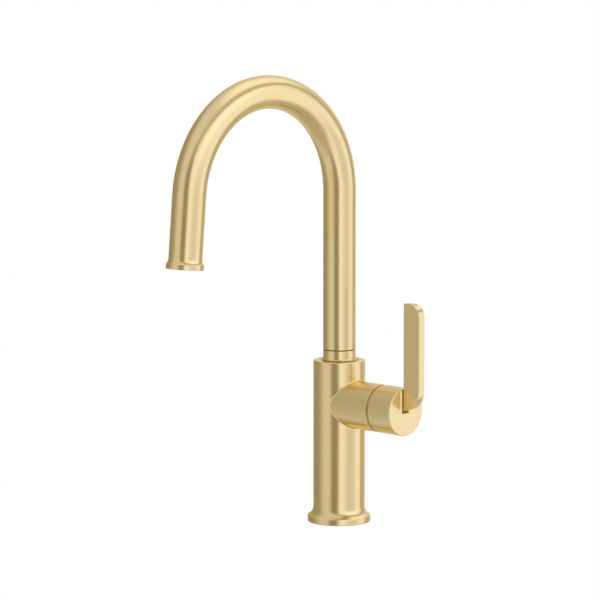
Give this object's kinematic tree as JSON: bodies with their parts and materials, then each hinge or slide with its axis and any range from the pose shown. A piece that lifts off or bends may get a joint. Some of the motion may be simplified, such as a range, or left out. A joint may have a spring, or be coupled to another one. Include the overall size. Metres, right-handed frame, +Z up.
{
  "type": "gooseneck bar faucet",
  "caption": "Gooseneck bar faucet in brushed gold: flared round foot, swivelling spout with a flared outlet, and a side hub with an upright flat blade lever.",
  "frame": {"origin": "centre of the foot's underside, in the plane of the deck", "axes": "+Z up along the body and the swivel axis, +X towards the handle, -Y the way that the spout points at rest"},
  "size_m": [0.1194, 0.2161, 0.375],
  "materials": {
    "gold": "brushed gold plating on brass, satin",
    "brass": "bare machined brass",
    "steel": "stainless steel, machined",
    "rubber": "black moulded rubber",
    "ceramic": "white lapped ceramic, opaque",
    "white_plastic": "white moulded acetal",
    "grey_plastic": "grey moulded plastic"
  },
  "bodies": {
    "base": {"faucet_body": "gold", "base_gasket": "rubber", "spout_collar": "gold", "swivel_bush": "white_plastic", "cartridge_seals": "rubber", "cartridge_base": "grey_plastic", "fixed_disc": "ceramic", "cartridge_housing": "white_plastic", "cartridge_nut": "brass"},
    "spout": {"spout_tube": "gold", "outlet_tip": "gold", "spout_spigot": "brass", "glide_washer": "rubber", "spigot_orings": "rubber", "spout_clip": "steel", "aerator_seal": "rubber", "flow_regulator": "white_plastic", "aerator_screen": "steel", "flow_straightener": "white_plastic", "aerator_housing": "grey_plastic"},
    "hub": {"handle_hub": "gold", "stem_carrier": "white_plastic", "rotor_seal": "rubber", "stem_pin": "steel", "hub_screw": "steel"},
    "lever": {"lever_blade": "gold", "cartridge_stem": "steel", "lever_screw": "steel"},
    "valve_disc": {"moving_disc": "ceramic", "disc_carrier": "grey_plastic"}
  },
  "joints": [
    {"name": "spout_swivel", "type": "hinge", "parent": "base", "child": "spout", "pos_m": [0, 0, 0.14], "axis": [0, 0, 1], "continuous": true},
    {"name": "hub_turn", "type": "hinge", "parent": "base", "child": "hub", "pos_m": [0.0635, 0, 0.1], "axis": [1, 0, 0], "range_deg": [-45, 45]},
    {"name": "lever_tilt", "type": "hinge", "parent": "hub", "child": "lever", "pos_m": [0.066, 0, 0.1], "axis": [0, 1, 0], "range_deg": [0, 22]},
    {"name": "disc_slide", "type": "slide", "parent": "hub", "child": "valve_disc", "axis": [0, 0, 1], "range_m": [0, 0.0038]}
  ],
  "couplings": [
    {"joint": "disc_slide", "follows": "lever_tilt", "m_per_rad": 0.009756}
  ]
}
